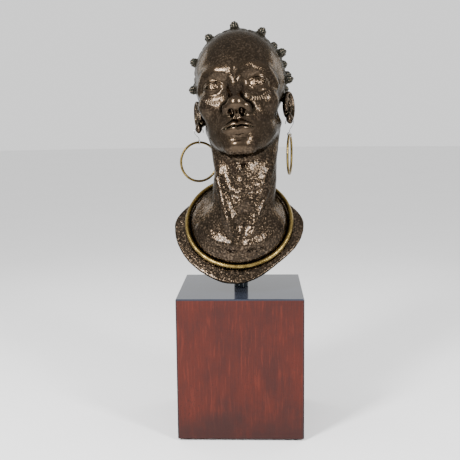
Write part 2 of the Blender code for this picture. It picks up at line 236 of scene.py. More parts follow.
foot_of_block, top_of_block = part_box("block")
spot = lacquer.place()
across = lacquer.node("ShaderNodeSeparateXYZ", {}, {"Vector": spot})
depth = Value(lacquer, across.socket.node.outputs["Y"])
height_up = Value(lacquer, across.socket.node.outputs["Z"])
clouds = lacquer.noise(spot, 0.055, 5.0, 0.62)
runs = lacquer.noise(lacquer.place((1, 1, 0.22)), 0.016, 4.0, 0.6)
grain = lacquer.noise(lacquer.place((1, 1, 0.03)), 0.0016, 3.0, 0.6)
streaks = lacquer.noise(lacquer.place((1, 1, 0.09)), 0.0035, 3.0, 0.6)
wear = lacquer.noise(lacquer.place((1, 1, 0.6)), 0.0024, 3.0, 0.7)
tone = (0.45 * clouds + 0.3 * runs + 0.25 * grain).between(0.38, 0.60)
red = lacquer.mix(tone, WORN_RED, FRESH_RED)
red = lacquer.mix(0.4 * (streaks + 0.35 * runs).between(0.70, 0.88), red, BRUSHED_RED)
red = lacquer.mix(0.8 * (wear - 0.4 * clouds).between(0.17, 0.03), red, WORN_THROUGH)
# the red grows darker towards the bottom of the block, over its lowest 75 mm
uneven_height = height_up + 0.16 * (clouds - 0.5) + 0.05 * (runs - 0.5)
darker_low = uneven_height.between(foot_of_block.z + DARKENING_HEIGHT, foot_of_block.z)
red = lacquer.mix(0.75 * darker_low, red, LOW_DARK_RED)
corner = across.math("MINIMUM", across.size(), depth.size())
on_corner = corner.between(top_of_block.x - 1.3 * RUBBED_EDGE, top_of_block.x - RUBBED_EDGE)
red = lacquer.mix(0.85 * on_corner, red, RUBBED_CORNER)
on_top = height_up.between(top_of_block.z - TOP_EDGE, top_of_block.z - 0.8 * TOP_EDGE)
haze = lacquer.noise(lacquer.place((1, 3, 1)), 0.045, 4.0, 0.6)
lacquer.feed(Base_Color=lacquer.mix(on_top, red, lacquer.mix(haze, GLOSS_BLACK, HAZY_BLACK)),
             Roughness=(1 - on_top) * (0.38 + 0.26 * wear) + on_top * (0.04 + 0.14 * haze),
             Normal=lacquer.bump((1 - on_top) * (0.6 * grain + 0.5 * wear), 0.00018))
nodes["block"].material_slots[0].material = lacquer.material


# Post: a round steel bar, turned and sprayed satin black, which stands in the block
# and carries the casting in a blind socket. Its ends are lightly chamfered.

CHAMFER = 0.8 * MM
black = Finish("post_black", Metallic=0.0, IOR=1.5)
lay = black.noise(black.place((1, 1, 14)), 0.006)
smudge = black.noise(black.place(), 0.02, 4.0)
black.feed(Base_Color=black.mix(smudge, (0.008, 0.011, 0.015), (0.016, 0.020, 0.026)),
           Roughness=0.16 + 0.16 * smudge,
           Normal=black.bump(lay, 0.00002))
low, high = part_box("post")
alone(nodes["post"])
bpy.ops.mesh.primitive_cylinder_add(vertices=96, radius=(high.x - low.x) / 2,
                                    depth=high.z - low.z, location=(low + high) / 2)
post = bpy.context.object
modify(post, "BEVEL", width=CHAMFER, segments=3, limit_method="ANGLE",
       angle_limit=SHARP_EDGE)
settle(post, "post_bar", black)
bpy.ops.object.shade_smooth_by_angle(angle=SMOOTH_UP_TO)
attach(post, "root")
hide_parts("post")


# Bust: one hollow bronze casting, from the yoke of the shoulders to the knots of hair,
# chased by hand, patinated brown and rubbed bright where it stands out. It was modelled
# freely in clay, so it is sculpted here as smooth solid forms that run into each other.

MANTLE_AT = (-2.3, -9.0, 322.4)
MANTLE_LEAN = 50.0
MANTLE_ROLL = 2.3
RING_RADIUS = 81.0
RING_WIRE = 3.5
RING_CLEARANCE = 0.7
FLANGE_DROP = RING_WIRE + RING_CLEARANCE
FLANGE_THICK = 5.0
DOME_RADII = (77.0, 76.0, 36.0)
HOLLOW_RADII = (68.5, 66.5, 36.5)
NECK_PATH = ((2, -16, 333), (8, -13, 388), (9, -8, 428), (6, 2, 473))
NECK_RADII = (49, 48, 47.5, 50)
SOCKET_TOP = 374.0
SOCKET_RADIUS = 11.35
BOSS_RADIUS = 17.5
BOSS_BOTTOM = 313.0
BOSS_CAP = 3.0
HEAD_AT = (2.4, 0.0, 511.0)
HEAD_BACK = 15.5
HEAD_ROLL = 5.5
HEAD_TURN = 4.0
HEAD_REACH = 136.0
SKULL_AT = (0.0, 8.0, 32.0)
SKULL_RADII = (70.0, 86.0, 76.0)
KNOT_ROWS = ((-17, (0, 33, 65, 95)), (14, (15, 47)), (43, (0, 31, 63)),
             (72, (16, 46, 72)), (101, (0, 32, 60)))
EAR_AT = (68.0, 20.0, -19.0)
EAR_TURN = 24.0
EAR_LEAN = 12.0
LOBE_AT = (6.0, -3.0, -19.0)
LOBE_RADII = (4.8, 7.4, 7.6)
LOBE_HOLE_AT = (6.0, -3.0, -21.0)
LOBE_HOLE = 1.4
EYE_AT = (30.5, -58.5, -1.0)
LIP_LINE = -67.0
BROW_HEIGHT = 25.5
THROAT_CREASE = 366
NECK_TOP = 415
GRID_LOW = (-116.0, -128.0, 222.0)
GRID_HIGH = (116, 136, 636)
CELL = 1.5
BUST_TRIANGLES = 186000
FAR = 1e3


def vec(*a):
    """A point or a set of radii in millimetres, as the forms below take them."""
    return np.array(a, np.float32)


def unit(a):
    a = np.array(a, float)
    return a / np.linalg.norm(a)


def length(v):
    return np.sqrt((v * v).sum(-1))


def ellipsoid(p, centre, radii):
    """How far each point is outside an egg of clay; less than 0 is inside."""
    r = vec(*radii)
    q = (p - vec(*centre)) / r
    k = length(q)
    return k * (k - 1) / np.maximum(length(q / r), 1e-9)


def cone(p, a, b, ra, rb):
    """The same for a roll of clay from a to b, round at its ends."""
    a, b = vec(*a), vec(*b)
    t = np.clip(((p - a) @ (b - a)) / ((b - a) @ (b - a)), 0, 1)
    return length(p - a - t[:, None] * (b - a)) - (ra + (rb - ra) * t)


def chain(p, points, radii):
    d = None
    for a, b, ra, rb in zip(points[:-1], points[1:], radii[:-1], radii[1:]):
        c = cone(p, a, b, ra, rb)
        d = c if d is None else np.minimum(d, c)
    return d


def blend(a, b, k):
    """Two forms pressed together, with a fillet about k wide between them."""
    h = np.clip(0.5 + 0.5 * (b - a) / k, 0, 1)
    return b + (a - b) * h - k * h * (1 - h)


def carve(a, b, k):
    return -blend(-a, b, k)


def rounded(a, b, r):
    """What two forms share, with its edge rounded to the radius r."""
    a, b = a + r, b + r
    outside = np.sqrt(np.maximum(a, 0) ** 2 + np.maximum(b, 0) ** 2)
    return np.minimum(np.maximum(a, b), 0) + outside - r


def step(x, lo, hi):
    """0 below lo, 1 above hi, and a smooth rise between."""
    t = np.clip((x - lo) / (hi - lo), 0, 1)
    return t * t * (3 - 2 * t)


def bell(x, w):
    """1 at 0, falling off smoothly about w to each side."""
    return np.exp(-(x / w) ** 2)


def head_axes():
    t, r, u = radians(HEAD_BACK), radians(HEAD_ROLL), radians(HEAD_TURN)
    back = np.array([[1, 0, 0], [0, cos(t), sin(t)], [0, -sin(t), cos(t)]])
    roll = np.array([[cos(r), 0, -sin(r)], [0, 1, 0], [sin(r), 0, cos(r)]])
    turn = np.array([[cos(u), sin(u), 0], [-sin(u), cos(u), 0], [0, 0, 1]])
    return turn @ roll @ back


def ear_axes():
    a, b = radians(EAR_TURN), radians(EAR_LEAN)
    turn = np.array([[cos(a), sin(a), 0], [-sin(a), cos(a), 0], [0, 0, 1]])
    lean = np.array([[1, 0, 0], [0, cos(b), sin(b)], [0, -sin(b), cos(b)]])
    return turn @ lean


def mantle_axes():
    a, b = radians(MANTLE_LEAN), radians(MANTLE_ROLL)
    across = np.array([cos(b), 0, sin(b)])
    up = np.array([0, cos(a), sin(a)])
    up = unit(up - across * (across @ up))
    return np.stack([across, up, np.cross(across, up)], 1)


HEAD = head_axes()
EAR = ear_axes()
MANTLE = mantle_axes()


def from_ear(point, side):
    """A point of the left ear's frame, or its mirror image, in the room."""
    q = np.array(EAR_AT) + EAR @ np.array(point)
    q[0] *= side
    return np.array(HEAD_AT) + HEAD @ q


def knots():
    """Where each hair knot stands on the skull, and the way it points."""
    c, r = np.array(SKULL_AT), np.array(SKULL_RADII)
    out = []
    for back, sides in KNOT_ROWS:
        for across in sides:
            for side in ((1, -1) if across else (1,)):
                a, b = radians(back), radians(across * side)
                d = np.array([sin(b), cos(b) * sin(a), cos(b) * cos(a)])
                out.append((c + r * d, unit(d / r)))
    return out


KNOTS = knots()


def hair(p):
    """Hair drawn up to the foot of each knot, and the core that its coil hides."""
    out = np.full(len(p), FAR, np.float32)
    for foot, n in KNOTS:
        q = p - vec(*foot)
        near = (q * q).sum(1) < 45 ** 2
        if not near.any():
            continue
        q, n = q[near], vec(*n)
        h = q @ n
        rho = length(q - h[:, None] * n)
        tent = blend(cone(q, -7 * n, 3 * n, 15, 5.6), cone(q, -15 * n, 1 * n, 29, 6), 3)
        core = np.sqrt(rho ** 2 + ((h - 5.0) * 1.1) ** 2) - 4.6
        out[near] = np.minimum(out[near], blend(tent, core, 1.5))
    return out


def combed(p):
    """How much a point of the head is hair, its place around the nearest knot, and
    how far it is from the parting with the next one."""
    d = (p - vec(*SKULL_AT)) / vec(*SKULL_RADII)
    d /= length(d)[:, None]
    inside = step(0.921 * d[:, 1] + 0.389 * d[:, 2], -0.25, -0.21)
    nape = step(p[:, 2] + 0.25 * np.abs(p[:, 0]), -36, -30)
    s = p.copy()
    s[:, 0] = np.abs(s[:, 0])
    by_ear = step(length((s - vec(66, 20, -16)) / vec(1, 0.62, 1)), 30, 34)
    feet = np.array([foot for foot, n in KNOTS], np.float32)
    reach = np.stack([length(p - foot) for foot in feet], 1)
    order = np.argsort(reach, 1)[:, :2]
    rows = np.arange(len(p))
    first, second = reach[rows, order[:, 0]], reach[rows, order[:, 1]]
    ways = np.array([n for foot, n in KNOTS])
    sides = np.array([unit(np.cross(n, (0.3, 0.9, 0.1))) for n in ways])
    others = np.cross(ways, sides)
    q = p - feet[order[:, 0]]
    near = order[:, 0]
    around = np.stack([(q * way[near]).sum(1) for way in (sides, others, ways)], 1)
    return inside * nape * by_ear, around, second - first


def mouth(x, z):
    """How far the lips stand out of the face: a full bow over a fuller lower lip."""
    ax = np.abs(x)
    t = z - LIP_LINE + 0.0016 * x * x - 0.9 * bell(ax - 6, 5) + 0.6 * bell(x, 3)
    wide = np.clip(1 - (ax / 26.0) ** 2.2, 0, 1)
    bow = 10.0 * wide ** 0.75 + 1.1 * bell(ax - 5, 3) - 1.3 * bell(x, 2.4) + 0.05
    full = 12.0 * np.clip(1 - (ax / 25.0) ** 2.4, 0, 1) ** 0.8 + 0.05
    upper, lower = np.clip(t / bow, 0, 1), np.clip(-t / full, 0, 1)
    over = np.clip(np.sin(pi * upper ** 0.62), 0, 1) ** 0.8 * 4.6
    under = np.clip(np.sin(pi * lower ** 0.58), 0, 1) ** 0.75 * 6.3
    out = np.where(t > 0, over, under) * wide ** 0.7
    out += 0.55 * wide * bell(t - bow, 0.9)
    out -= 1.5 * step(26.5 - ax, 0, 6) * bell(t + 0.2, 1.0)
    return out - 1.3 * bell(ax - 27.5, 3.2) * bell(t + 0.5, 3.5)


def face_relief(x, z):
    """Lips, the groove above them, the dip over the chin and the folds beside the
    nose, in millimetres outward."""
    ax = np.abs(x)
    out = mouth(x, z)
    groove = 0.6 * bell(ax - 4.8, 1.8) - 1.3 * bell(x, 2.8)
    out += step(z, -57.5, -54) * step(-z, 45, 49) * groove
    out -= 3.0 * bell(x, 17) * bell(z + 83.5, 4.4)
    fold = (ax - 17) * 0.86 + (z + 40) * 0.42
    return out - 0.9 * bell(fold, 3.3) * step(z, -66, -52) * step(-z, 34, 44)


def eye(s):
    """Eyeball and lids: the lids stand over the ball with a clear edge and a crease,
    and the ball has an incised iris and a drilled pupil."""
    e = s - vec(*EYE_AT)
    a, b = e[:, 0], e[:, 2]
    upper = 5.2 * np.clip(1 - ((a + 0.6) / 13.9) ** 2, 0, 1) ** 0.72 + 0.05 * a
    lower = -4.2 * np.clip(1 - ((a - 0.6) / 13.9) ** 2, 0, 1) ** 0.8 + 0.05 * a
    inner = np.minimum(upper - b, b - lower)
    seen = step(inner, -0.4, 0.9)
    iris = np.sqrt(a * a + (b - 0.7) ** 2)
    ball = 15.9 - 0.45 * bell(iris - 5.0, 0.6) - 1.1 * (1 - step(iris, 1.4, 2.6))
    lid = np.where(b > 0.05 * a, 17.9, 17.4) + 0.35 * bell(inner + 0.9, 0.7)
    lid = lid - 0.9 * bell(b - upper - 3.6, 0.9) * step(-np.abs(a), -15, -9) * step(b, 0, 2)
    return length(e) - (ball * seen + lid * (1 - seen))


def ear(s):
    """Shell, rolled rim, inner ridges, the small flap in front, and the lobe."""
    e = ((s - vec(*EAR_AT)) @ EAR.astype(np.float32))
    d = ellipsoid(e, (0, 0, 4), (5, 13, 21))
    turns = [radians(205 - 21 * i) for i in range(13)]
    rim = [(3.4, 13 * cos(t), 4 + 22.5 * sin(t)) for t in turns]
    d = blend(d, chain(e, rim, [3.0] * len(rim)), 2.0)
    d = carve(d, ellipsoid(e, (7, 1.5, 1), (5.8, 8.7, 16)), 2.2)
    ridge = [(2.4, 6, 17), (3.0, 5, 9), (2.8, 4.5, -2), (2.4, 1, -10)]
    d = blend(d, chain(e, ridge, [1.6, 2.2, 2.3, 2.0]), 2.2)
    d = blend(d, cone(e, (2.2, 0, 15), (2.8, 4.5, 9), 1.3, 2.0), 2.0)
    d = blend(d, ellipsoid(e, (2.5, -10, -5), (3.4, 3.6, 4.6)), 2.5)
    d = carve(d, ellipsoid(e, (-3, -3, -24), (5, 14, 10)), 2)
    lobe = blend(cone(e, (3.5, -2, -9), LOBE_AT, 3.4, 3.8), ellipsoid(e, LOBE_AT, LOBE_RADII), 3)
    return blend(d, lobe, 2.2)


def head(p):
    x, z = p[:, 0], p[:, 2]
    w = p.copy()
    w[:, 1] += face_relief(x, z) * step(-p[:, 1], 40, 60)
    s = w.copy()
    s[:, 0] = np.abs(s[:, 0])
    # skull, cheeks, jaw, chin
    d = ellipsoid(p, SKULL_AT, SKULL_RADII)
    d = blend(d, ellipsoid(w, (0, -20, 10), (58, 61, 72)), 18)
    d = blend(d, ellipsoid(w, (0, -32, -46), (50, 45, 52)), 20)
    d = blend(d, cone(s, (44, -2, -46), (11, -62, -88), 13, 14), 18)
    d = blend(d, ellipsoid(w, (0, -66, -89), (17, 17, 15)), 14)
    d = blend(d, ellipsoid(s, (39, -49, -22), (20, 20, 17)), 16)
    d = blend(d, ellipsoid(w, (0, -59, -64), (30, 26, 24)), 14)
    # brow, eye sockets, temples
    brow = [(5, -75, 18), (26, -74, 22), (44, -61, 18), (54, -42, 6)]
    d = blend(d, chain(s, brow, [6, 6, 6, 5]), 14)
    d = carve(d, ellipsoid(s, (28, -85, -1), (20, 12, 12)), 10)
    d = carve(d, ellipsoid(s, (80, -40, 22), (14, 26, 22)), 14)
    # nose
    nose = chain(s, [(0, -70, 10), (0, -77, -10), (0, -87, -31)], [8.5, 8.5, 10])
    nose = blend(nose, ellipsoid(s, (0, -88, -33), (12, 11, 9.5)), 6)
    nose = blend(nose, ellipsoid(s, (13.5, -79, -37.5), (8.6, 10.5, 7.4)), 6)
    nose = blend(nose, cone(s, (0, -91, -40), (0, -82, -46), 4, 4.5), 3)
    d = blend(d, nose, 8)
    d = carve(d, ellipsoid(s, (7.4, -84.5, -45.0), (3.6, 5.2, 6.6)), 2.0)
    d = blend(d, eye(s), 2.2)
    d = blend(d, ear(s), 3.5)
    return blend(d, hair(p), 2.5)


def rim_radius(angle):
    """Outline of the mantle; the angle is in degrees, 0 in front."""
    return (84.5 + 16.5 * step(-np.abs(angle + 3), -122, -88)
            + 5.5 * bell(angle + 6, 22) - 8.0 * bell(angle - 40, 26))


def body(p):
    m = (p - vec(*MANTLE_AT)) @ MANTLE.astype(np.float32)
    u, v, n = m[:, 0], m[:, 1], m[:, 2]
    angle = np.degrees(np.arctan2(u, -v))
    rim = np.sqrt(u * u + v * v) - rim_radius(angle)
    half = FLANGE_THICK / 2
    fall = 0.0022 * np.maximum(rim + 22, 0) ** 2
    flange = rounded(rim, np.abs(n + FLANGE_DROP + half + fall) - half, 1.8)
    underside = -(n + FLANGE_DROP + FLANGE_THICK)
    q = p.copy()
    q[:, 1] = -9 + (q[:, 1] + 9) * 1.05
    neck = chain(q, NECK_PATH, NECK_RADII)
    d = blend(ellipsoid(m, (0, -1, -6), DOME_RADII), neck, 14 + 20 * step(-v, -25, 25))
    for side in (1, -1):
        # the long muscle from behind the ear to the pit of the neck
        cord = [(side * 46 + 7, 16, 473), (side * 34 + 6, -38, 403), (side * 8 + 2, -58, 311)]
        d = blend(d, chain(p, cord, [12, 8, 5]), 10)
    for side in (1, -1):
        collar_bone = [(side * 12 + 1, -59, 293), (side * 34, -52, 298), (side * 60, -29, 313)]
        d = blend(d, chain(p, collar_bone, [7, 6.5, 4.5]), 9)
    d = blend(d, cone(p, (5, -48, 405), (3, -52, 355), 9, 7), 12)
    # the taut front edges of the two long muscles, and the valley between them
    taut = [(44, -42, 378), (33.2, -51.8, 351), (27, -56.8, 336.6), (18.0, -61.8, 311)]
    d = blend(d, chain(p, taut, [1.5, 3.0, 3.4, 3.2]), 4)
    slack = [(-32, -46, 392), (-23, -54, 357), (-16, -58.5, 332), (-10.0, -60.5, 309)]
    d = blend(d, chain(p, slack, [5.0, 8.0, 8.5, 5.0]), 8)
    valley = [(13, -75, 362), (10, -74, 341), (7, -75.5, 325), (4, -76.5, 309)]
    d = carve(d, chain(p, valley, [11, 17, 18, 15]), 4)
    d = blend(np.maximum(d, underside), flange, 5)
    # hollow underneath, with a boss left standing for the post
    d = carve(d, ellipsoid(m, (0, 1, -12), HOLLOW_RADII), 3)
    boss = np.maximum(p[:, 2] - SOCKET_TOP - BOSS_CAP, BOSS_BOTTOM - p[:, 2])
    boss = np.maximum(boss, length(p[:, :2]) - BOSS_RADIUS)
    d = blend(d, np.maximum(boss, underside), 4)
    ring = np.sqrt((np.sqrt(u * u + v * v) - RING_RADIUS) ** 2 + n * n)
    return carve(d, ring - RING_WIRE - RING_CLEARANCE, 1)


def bust(p):
    body_part = np.full(len(p), FAR, np.float32)
    head_part = body_part.copy()
    low, high = p[:, 2] < 520, p[:, 2] > HEAD_AT[2] - HEAD_REACH
    body_part[low] = body(p[low])
    head_part[high] = head((p[high] - vec(*HEAD_AT)) @ HEAD.astype(np.float32))
    return blend(body_part, head_part, 12)


def chased(p):
    """What the chaser's tools and the modeller's thumb left on the form, in
    millimetres outward."""
    x, y, z = p[:, 0], p[:, 1], p[:, 2]
    in_front = step(-y, 15, 35)
    # thumb marks all over the neck and the mantle
    out = np.zeros(len(p))
    for kx, ky, kz, deep in ((0.31, 0.17, 0.23, 0.07), (-0.22, 0.37, 0.35, 0.07),
                             (0.47, -0.28, 0.41, 0.07), (0.13, 0.52, -0.46, 0.07),
                             (0.80, 0.33, 0.47, 0.03), (-0.35, 0.86, 0.52, 0.03),
                             (0.58, -0.41, 0.83, 0.03), (0.21, 0.64, -0.88, 0.03)):
        out += deep * np.sin(kx * x + ky * y + kz * z + 40 * deep + 7 * kx)
    out *= 1 - step(z, 430, 455)
    # crease round the throat and the gristle above it
    fold = z - (THROAT_CREASE + 12 * np.tanh(np.abs(x + 2) / 26))
    across = step(-np.abs(x - 8), -52, -34) * in_front
    out += across * (0.4 * bell(fold - 4.5, 4) - 1.1 * bell(fold, 1.1))
    for at_x, at_z in ((1, 404), (20, 404), (2.5, 386)):
        out += 0.9 * bell(x - at_x, 7) * bell(z - at_z, 7) * in_front
    q = (p - vec(*HEAD_AT)) @ HEAD.astype(np.float32)
    ax, hz = np.abs(q[:, 0]), q[:, 2]
    on_head = z > NECK_TOP
    face = step(-q[:, 1], 40, 52) * on_head
    # brow hairs, as slanting strokes along the ridge
    off = hz - (BROW_HEIGHT - 0.011 * (ax - 24) ** 2)
    hairs = bell(off, 3.6) * step(ax, 7, 12) * step(-ax, -53, -46)
    out += face * hairs * 0.42 * np.cos(2 * pi * (ax - 0.9 * off) / 3.3)
    # a fan of short cut strokes below the outer corner of each eye
    turn = np.degrees(np.arctan2(hz - EYE_AT[2] + 2, ax - EYE_AT[0]))
    far = np.sqrt((hz - EYE_AT[2] + 2) ** 2 + (ax - EYE_AT[0]) ** 2)
    fan = step(turn, -112, -108) * step(-turn, 16, 20)
    strokes = bell((turn + 20) % 9 - 4.5, 1.6) * step(far, 18, 19.5) * step(-far, -25, -23.5)
    out -= face * fan * strokes * 0.5
    # hair combed towards the knots, with partings between
    mask = np.zeros(len(p))
    if on_head.any():
        amount, around, parting = combed(q[on_head])
        spread = np.sqrt(around[:, 0] ** 2 + around[:, 1] ** 2)
        turn = np.arctan2(around[:, 1], around[:, 0])
        locks = 0.36 * np.cos(19 * turn + 0.12 * spread) * step(spread, 6, 12)
        mask[on_head] = amount * (0.5 + locks - 1.3 * bell(parting, 3.0))
    return out + mask


def surface(p):
    """The finished skin of the casting."""
    return bust(p) - chased(p)


def sample(field, lo, count, cell):
    """The field on a grid, worked out finely only near the surface."""
    ratio = 4
    axes = [lo[i] + cell * np.arange(count[i]) for i in range(3)]
    rough = np.stack(np.meshgrid(*[a[::ratio] for a in axes], indexing="ij"), -1)
    shape = rough.shape[:3]
    value = field(rough.reshape(-1, 3).astype(np.float32)).reshape(shape)
    near = np.abs(value) < cell * ratio * 1.9
    blocks = np.zeros([n - 1 for n in shape], bool)
    for corner in np.ndindex(2, 2, 2):
        blocks |= near[tuple(slice(c, c + b) for c, b in zip(corner, blocks.shape))]
    grid = np.where(value < 0, -FAR, FAR).astype(np.float32)
    for axis in range(3):
        grid = np.repeat(grid, ratio, axis)
        blocks = np.repeat(blocks, ratio, axis)
    grid = grid[:count[0], :count[1], :count[2]].copy()
    fine = np.zeros(count, bool)
    for corner in np.ndindex(2, 2, 2):
        fine[tuple(slice(c, c + b) for c, b in zip(corner, blocks.shape))] |= blocks
    points = (np.array(lo) + np.argwhere(fine) * cell).astype(np.float32)
    grid[fine] = np.concatenate([field(part) for part in np.array_split(points, 16)])
    return grid


def unpinch(grid):
    """Fill the places where the skin would only touch itself along an edge."""
    inside = grid < 0
    for axes in ((0, 1), (1, 2), (0, 2)):
        faces = []
        for corner in ((0, 0), (0, 1), (1, 0), (1, 1)):
            part = [slice(None)] * 3
            for axis, c in zip(axes, corner):
                part[axis] = slice(c, grid.shape[axis] - 1 + c)
            faces.append(tuple(part))
        a, b, c, d = [inside[f] for f in faces]
        pinched = ((a & d) & ~(b | c)) | ((b & c) & ~(a | d))
        for f in faces:
            grid[f] = np.where(pinched & (grid[f] >= 0), -0.1, grid[f])
    return grid


def skin(grid, lo, cell):
    """One point in every cell that the surface crosses, and one quad across every
    grid edge that it cuts."""
    inside = grid < 0
    size = np.array(grid.shape) - 1
    total = np.zeros(size, int)
    for corner in np.ndindex(2, 2, 2):
        total += inside[tuple(slice(c, c + s) for c, s in zip(corner, size))]
    crossed = (total > 0) & (total < 8)
    cells = np.argwhere(crossed)
    number = np.full(crossed.shape, -1, int)
    number[crossed] = np.arange(len(cells))
    place = np.zeros((len(cells), 3))
    cuts = np.zeros(len(cells))
    for corner in np.ndindex(2, 2, 2):
        for axis in range(3):
            if corner[axis]:
                continue
            other = np.array(corner)
            other[axis] = 1
            a = grid[tuple((cells + corner).T)]
            b = grid[tuple((cells + other).T)]
            cut = (a < 0) != (b < 0)
            spot = np.tile(np.array(corner, float), (int(cut.sum()), 1))
            spot[:, axis] = a[cut] / (a[cut] - b[cut])
            place[cut] += spot
            cuts[cut] += 1
    points = np.array(lo) + (cells + place / cuts[:, None]) * cell
    quads = []
    for axis in range(3):
        e, f = (axis + 1) % 3, (axis + 2) % 3
        low, high = [slice(1, -1)] * 3, [slice(1, -1)] * 3
        low[axis], high[axis] = slice(0, -1), slice(1, None)
        a, b = inside[tuple(low)], inside[tuple(high)]
        at = np.argwhere(a != b)
        out = ~a[tuple(at.T)]
        at[:, e] += 1
        at[:, f] += 1
        corners = []
        for de, df in ((-1, -1), (0, -1), (0, 0), (-1, 0)):
            c = at.copy()
            c[:, e] += de
            c[:, f] += df
            corners.append(number[tuple(c.T)])
        quad = np.stack(corners, 1)
        quad[out] = quad[out][:, ::-1]
        quads.append(quad)
    return points, np.concatenate(quads)


def slope(field, p, at):
    """Which way the field rises, from small steps along each axis."""
    reach = 0.12
    axes = np.eye(3, dtype=np.float32)
    return np.stack([field(p + reach * axis) - at for axis in axes], 1) / reach


LONGEST_PRESS = 1.2


def press(obj, field, rounds):
    """Moves every point of a mesh onto the surface of a form."""
    p = np.zeros(len(obj.data.vertices) * 3, np.float32)
    obj.data.vertices.foreach_get("co", p)
    p = p.reshape(-1, 3) / MM
    for part in np.array_split(np.arange(len(p)), 12):
        q = p[part]
        for again in range(rounds):
            at = field(q)
            rise = slope(field, q, at)
            move = rise * (at / np.maximum((rise * rise).sum(1), 0.05))[:, None]
            short = np.minimum(1, LONGEST_PRESS / np.maximum(length(move), 1e-9))
            q = q - (move * short[:, None]).astype(np.float32)
        p[part] = q
    obj.data.vertices.foreach_set("co", (p * MM).ravel())
    obj.data.update()


def centres(obj):
    """The middles of a mesh's faces, in millimetres."""
    c = np.zeros(len(obj.data.polygons) * 3, np.float32)
    obj.data.polygons.foreach_get("center", c)
    return c.reshape(-1, 3) / MM


cell = CELL * 1
count = [(int((high - low) / cell) // 4 + 1) * 4 + 1 for low, high in zip(GRID_LOW, GRID_HIGH)]
grid = sample(bust, GRID_LOW, count, cell)
for again in range(6):
    grid = unpinch(grid)
points, quads = skin(grid, GRID_LOW, cell)
mesh = bpy.data.meshes.new("bust_casting")
mesh.from_pydata([tuple(q) for q in points * MM], [], quads.tolist())
casting = bpy.data.objects.new("bust_casting", mesh)
bpy.context.scene.collection.objects.link(casting)

# the features of the face and the ears get a closer mesh before they are pressed in
q = (centres(casting) - vec(*HEAD_AT)) @ HEAD.astype(np.float32)
ax = np.abs(q[:, 0])
features = (q[:, 1] < -45) & (ax < 56) & (q[:, 2] > -82) & (q[:, 2] < 32)
s = q.copy()
s[:, 0] = ax
e = (s - vec(*EAR_AT)) @ EAR.astype(np.float32)
features |= (e[:, 0] > -3) & (np.abs(e[:, 1]) < 18) & (e[:, 2] > -30) & (e[:, 2] < 30)
pick_faces(casting, features)
bpy.ops.mesh.subdivide(number_cuts=1)
bpy.ops.object.mode_set(mode="OBJECT")
press(casting, surface, 2)
triangles = sum(len(face.vertices) - 2 for face in casting.data.polygons)
modify(casting, "DECIMATE", ratio=min(1.0, BUST_TRIANGLES / triangles))
press(casting, surface, 1)

# the socket for the post and the holes through the ear lobes
DRILL_START = 218
LOBE_DRILL_REACH = 9
drills = [((0, 0, DRILL_START), (0, 0, SOCKET_TOP), SOCKET_RADIUS)]
for side in (1, -1):
    hole = from_ear(LOBE_HOLE_AT, side)
    out = from_ear(np.array(LOBE_HOLE_AT) + np.array((1, 0, 0)), side) - hole
    drills.append((hole - LOBE_DRILL_REACH * out, hole + LOBE_DRILL_REACH * out, LOBE_HOLE))
for start, end, radius in drills:
    start, end = Vector(start) * MM, Vector(end) * MM
    turn = (end - start).to_track_quat("Z", "Y").to_euler()
    bpy.ops.mesh.primitive_cylinder_add(vertices=48, radius=radius * MM,
                                        depth=(end - start).length,
                                        location=(start + end) / 2, rotation=turn)
    drill = bpy.context.object
    modify(casting, "BOOLEAN", operation="DIFFERENCE", solver="EXACT", object=drill)
    bpy.data.objects.remove(drill)

# nothing may stand proud of the model's own casting
low_corner, high_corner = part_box("bust")
p = np.zeros(len(casting.data.vertices) * 3, np.float32)
casting.data.vertices.foreach_get("co", p)
p = np.clip(p.reshape(-1, 3), np.array(low_corner), np.array(high_corner)).astype(np.float32)
casting.data.vertices.foreach_set("co", p.ravel())
casting.data.update()

# what the finish follows: hair, its strands, the rubbed places, and the hollows, which take dark
# patina and painted shade
p /= MM
q = (p - vec(*HEAD_AT)) @ HEAD.astype(np.float32)
on_head = p[:, 2] > NECK_TOP
hair_mask = np.zeros(len(p))
strands = np.zeros((len(p), 3))
amount, around, parting = combed(q[on_head])
hair_mask[on_head] = amount
strands[on_head] = around * MM
s = q.copy()
s[:, 0] = np.abs(s[:, 0])
rubbed = np.zeros(len(p))
for centre, radii in (((0, -90, -34), (14, 16, 10)), ((0, -82, -67), (26, 20, 12)),
                      ((0, -78, -92), (15, 20, 9)), ((30, -74, -1), (16, 14, 9)),
                      ((24, -74, 24), (22, 16, 5))):
    rubbed = np.maximum(rubbed, np.exp(-(((s - vec(*centre)) / vec(*radii)) ** 2).sum(1)))
at = surface(p)
rise = slope(surface, p, at)
rise /= np.maximum(length(rise), 1e-6)[:, None]
# hollows and creases: partly dark patina, partly painted shade
patina_and_shade = np.zeros(len(p))
for reach, deep in ((4.0, 2.5), (1.5, 0.9)):
    shut_in = (reach + at - surface((p + reach * rise).astype(np.float32))) / deep
    patina_and_shade = np.maximum(patina_and_shade, np.clip(shut_in, 0, 1))
# the underside of the mantle's rim is darkened as painted shade
under = (p - vec(*MANTLE_AT)) @ MANTLE[:, 2] + FLANGE_DROP + FLANGE_THICK
patina_and_shade = np.maximum(patina_and_shade, step(-under, -1.6, -0.6))
for name, kind, values in (("hair", "FLOAT", hair_mask), ("strands", "FLOAT_VECTOR", strands),
                           ("rubbed", "FLOAT", rubbed), ("hollow", "FLOAT", patina_and_shade)):
    layer = casting.data.attributes.new(name, kind, "POINT")
    layer.data.foreach_set("vector" if kind == "FLOAT_VECTOR" else "value",
                           values.astype(np.float32).ravel())

